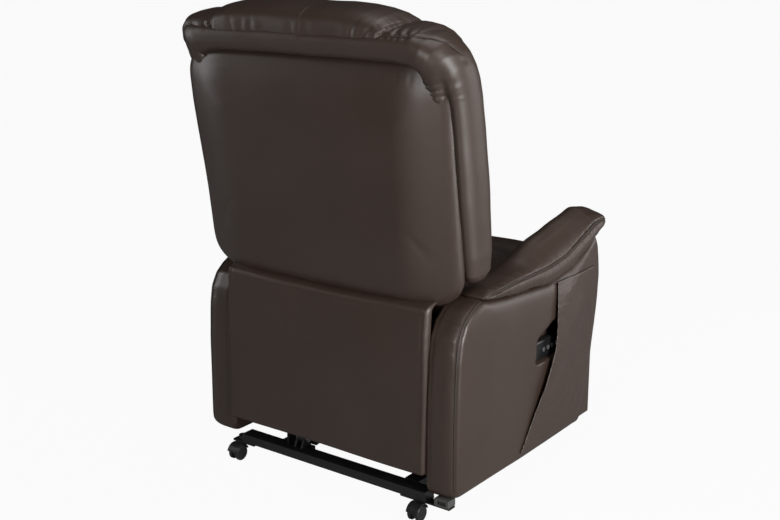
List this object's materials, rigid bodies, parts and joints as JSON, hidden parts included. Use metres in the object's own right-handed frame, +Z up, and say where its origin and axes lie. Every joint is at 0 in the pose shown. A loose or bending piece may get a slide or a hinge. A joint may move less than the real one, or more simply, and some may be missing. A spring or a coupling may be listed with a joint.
{
  "type": "lift recliner chair",
  "caption": "Electric lift recliner chair in dark brown leather, with tilting seat, reclining back, footrest, pocket handset and a black steel base.",
  "frame": {"origin": "on the floor below the middle of the chair's bounding box", "axes": "+Z up, -Y the way the sitter faces, +X the sitter's left"},
  "size_m": [0.7887, 0.8316, 1.1713],
  "materials": {
    "leather": "satin",
    "black_steel": "satin",
    "zinc": "satin",
    "black_plastic": "matte",
    "key_grey": "matte",
    "wheel_rubber": "matte",
    "inlet_grey": "matte",
    "plywood": "matte"
  },
  "bodies": {
    "base": {"base_frame": "black_steel", "base_end_caps": "black_plastic", "front_glides": "black_plastic", "base_pivot_bolts": "zinc", "power_inlet": "inlet_grey"},
    "left_castor": {"left_castor_fork": "black_plastic"},
    "right_castor": {"right_castor_fork": "black_plastic"},
    "left_wheels": {"left_castor_wheels": "wheel_rubber"},
    "right_wheels": {"right_castor_wheels": "wheel_rubber"},
    "front_links": {"front_lift_links": "black_steel"},
    "rear_links": {"rear_lift_links": "black_steel"},
    "lift_motor": {"lift_gear_motor": "black_plastic", "lift_outer_tube": "zinc"},
    "lift_push": {"lift_rod": "zinc"},
    "seat": {"seat_side_plates": "black_steel", "seat_frame": "black_steel", "seat_pivot_bolts": "zinc", "seat_springs": "zinc", "arm_brackets": "black_steel", "seat_cushion": "leather", "seat_front_roll": "leather", "left_arm_body": "leather", "right_arm_body": "leather", "left_arm_roll": "leather", "right_arm_roll": "leather", "pocket_panel": "leather", "handset_body": "black_plastic", "rear_flap": "leather", "control_box": "black_plastic"},
    "back": {"back_frame": "black_steel", "back_springs": "zinc", "back_shell": "leather", "left_bolster": "leather", "right_bolster": "leather", "lumbar_cushion": "leather", "back_cushion": "leather", "head_cushion": "leather"},
    "back_motor": {"back_gear_motor": "black_plastic", "back_outer_tube": "zinc"},
    "back_push": {"back_rod": "zinc"},
    "leg_motor": {"leg_gear_motor": "black_plastic", "leg_outer_tube": "zinc"},
    "leg_push": {"leg_rod": "zinc"},
    "leg_drive": {"footrest_drive_links": "black_steel"},
    "leg_sides": {"footrest_side_links": "black_steel"},
    "leg_couplers": {"footrest_couplers": "black_steel"},
    "leg_struts": {"footrest_struts": "black_steel"},
    "footrest": {"footrest_brackets": "black_steel", "footrest_board": "plywood", "footrest_pad": "leather"},
    "back_down_key": {"key_back_down": "key_grey"},
    "back_up_key": {"key_back_up": "key_grey"},
    "lift_down_key": {"key_lift_down": "key_grey"},
    "lift_up_key": {"key_lift_up": "key_grey"}
  },
  "joints": [
    {"name": "left_swivel", "type": "hinge", "parent": "base", "child": "left_castor", "pos_m": [0.285, 0.343, 0.05], "axis": [0, 0, 1], "continuous": true},
    {"name": "left_roll", "type": "hinge", "parent": "left_castor", "child": "left_wheels", "pos_m": [0.285, 0.364, 0.02], "axis": [1, 0, 0], "continuous": true},
    {"name": "right_swivel", "type": "hinge", "parent": "base", "child": "right_castor", "pos_m": [-0.285, 0.343, 0.05], "axis": [0, 0, 1], "continuous": true},
    {"name": "right_roll", "type": "hinge", "parent": "right_castor", "child": "right_wheels", "pos_m": [-0.285, 0.364, 0.02], "axis": [1, 0, 0], "continuous": true},
    {"name": "lift_raise", "type": "hinge", "parent": "base", "child": "front_links", "pos_m": [0, -0.285, 0.095], "axis": [1, 0, 0], "range_deg": [0, 50]},
    {"name": "seat_tilt", "type": "hinge", "parent": "front_links", "child": "seat", "pos_m": [0, -0.06, 0.1], "axis": [1, 0, 0], "range_deg": [-23, 0]},
    {"name": "rear_link_swing", "type": "hinge", "parent": "base", "child": "rear_links", "pos_m": [0, -0.2, 0.112], "axis": [1, 0, 0], "range_deg": [0, 50]},
    {"name": "lift_motor_tip", "type": "hinge", "parent": "base", "child": "lift_motor", "pos_m": [0.098, 0.318, 0.092], "axis": [1, 0, 0], "range_deg": [0, 1]},
    {"name": "lift_push_out", "type": "slide", "parent": "lift_motor", "child": "lift_push", "axis": [0, -0.989, 0.148], "range_m": [0, 0.076]},
    {"name": "recline", "type": "hinge", "parent": "seat", "child": "back", "pos_m": [0, 0.29, 0.44], "axis": [-1, 0, 0], "range_deg": [0, 45], "deforming": ["rear_flap"]},
    {"name": "back_motor_tip", "type": "hinge", "parent": "seat", "child": "back_motor", "pos_m": [0.08, -0.13, 0.31], "axis": [1, 0, 0], "range_deg": [0, 1.15]},
    {"name": "back_push_in", "type": "slide", "parent": "back_motor", "child": "back_push", "axis": [0, 0.9936, 0.1126], "range_m": [-0.065, 0]},
    {"name": "footrest_raise", "type": "hinge", "parent": "seat", "child": "leg_drive", "pos_m": [0, -0.255, 0.342], "axis": [-1, 0, 0], "range_deg": [0, 84]},
    {"name": "leg_side_swing", "type": "hinge", "parent": "seat", "child": "leg_sides", "pos_m": [0, -0.255, 0.297], "axis": [-1, 0, 0], "range_deg": [0, 84]},
    {"name": "leg_coupler_turn", "type": "hinge", "parent": "leg_sides", "child": "leg_couplers", "pos_m": [0, -0.19, 0.202], "axis": [-1, 0, 0], "range_deg": [-84, 0]},
    {"name": "leg_strut_turn", "type": "hinge", "parent": "leg_drive", "child": "leg_struts", "pos_m": [0, -0.19, 0.159], "axis": [-1, 0, 0], "range_deg": [-84, 0]},
    {"name": "footrest_turn", "type": "hinge", "parent": "leg_couplers", "child": "footrest", "pos_m": [0, -0.338, 0.372], "axis": [-1, 0, 0], "range_deg": [0, 84]},
    {"name": "leg_motor_tip", "type": "hinge", "parent": "seat", "child": "leg_motor", "pos_m": [-0.08, 0.15, 0.29], "axis": [1, 0, 0], "range_deg": [0, 0.45]},
    {"name": "leg_push_out", "type": "slide", "parent": "leg_motor", "child": "leg_push", "axis": [0, -0.9988, 0.0494], "range_m": [0, 0.0606]},
    {"name": "back_down_press", "type": "slide", "parent": "seat", "child": "back_down_key", "axis": [1, 0, 0], "range_m": [0, 0.0012], "stiffness_N_per_m": 500},
    {"name": "back_up_press", "type": "slide", "parent": "seat", "child": "back_up_key", "axis": [1, 0, 0], "range_m": [0, 0.0012], "stiffness_N_per_m": 500},
    {"name": "lift_down_press", "type": "slide", "parent": "seat", "child": "lift_down_key", "axis": [1, 0, 0], "range_m": [0, 0.0012], "stiffness_N_per_m": 500},
    {"name": "lift_up_press", "type": "slide", "parent": "seat", "child": "lift_up_key", "axis": [1, 0, 0], "range_m": [0, 0.0012], "stiffness_N_per_m": 500}
  ],
  "couplings": [
    {"joint": "seat_tilt", "follows": "lift_raise", "ratio": -0.46},
    {"joint": "rear_link_swing", "follows": "lift_raise", "ratio": 1},
    {"joint": "lift_motor_tip", "follows": "lift_raise", "ratio": 0.01946},
    {"joint": "lift_push_out", "follows": "lift_raise", "m_per_rad": 0.086451},
    {"joint": "back_motor_tip", "follows": "recline", "ratio": 0.02471},
    {"joint": "back_push_in", "follows": "recline", "m_per_rad": -0.082191},
    {"joint": "leg_side_swing", "follows": "footrest_raise", "ratio": 1},
    {"joint": "leg_coupler_turn", "follows": "footrest_raise", "ratio": -1},
    {"joint": "leg_strut_turn", "follows": "footrest_raise", "ratio": -1},
    {"joint": "footrest_turn", "follows": "footrest_raise", "ratio": 1},
    {"joint": "leg_motor_tip", "follows": "footrest_raise", "ratio": 0.00518},
    {"joint": "leg_push_out", "follows": "footrest_raise", "m_per_rad": 0.041081}
  ]
}
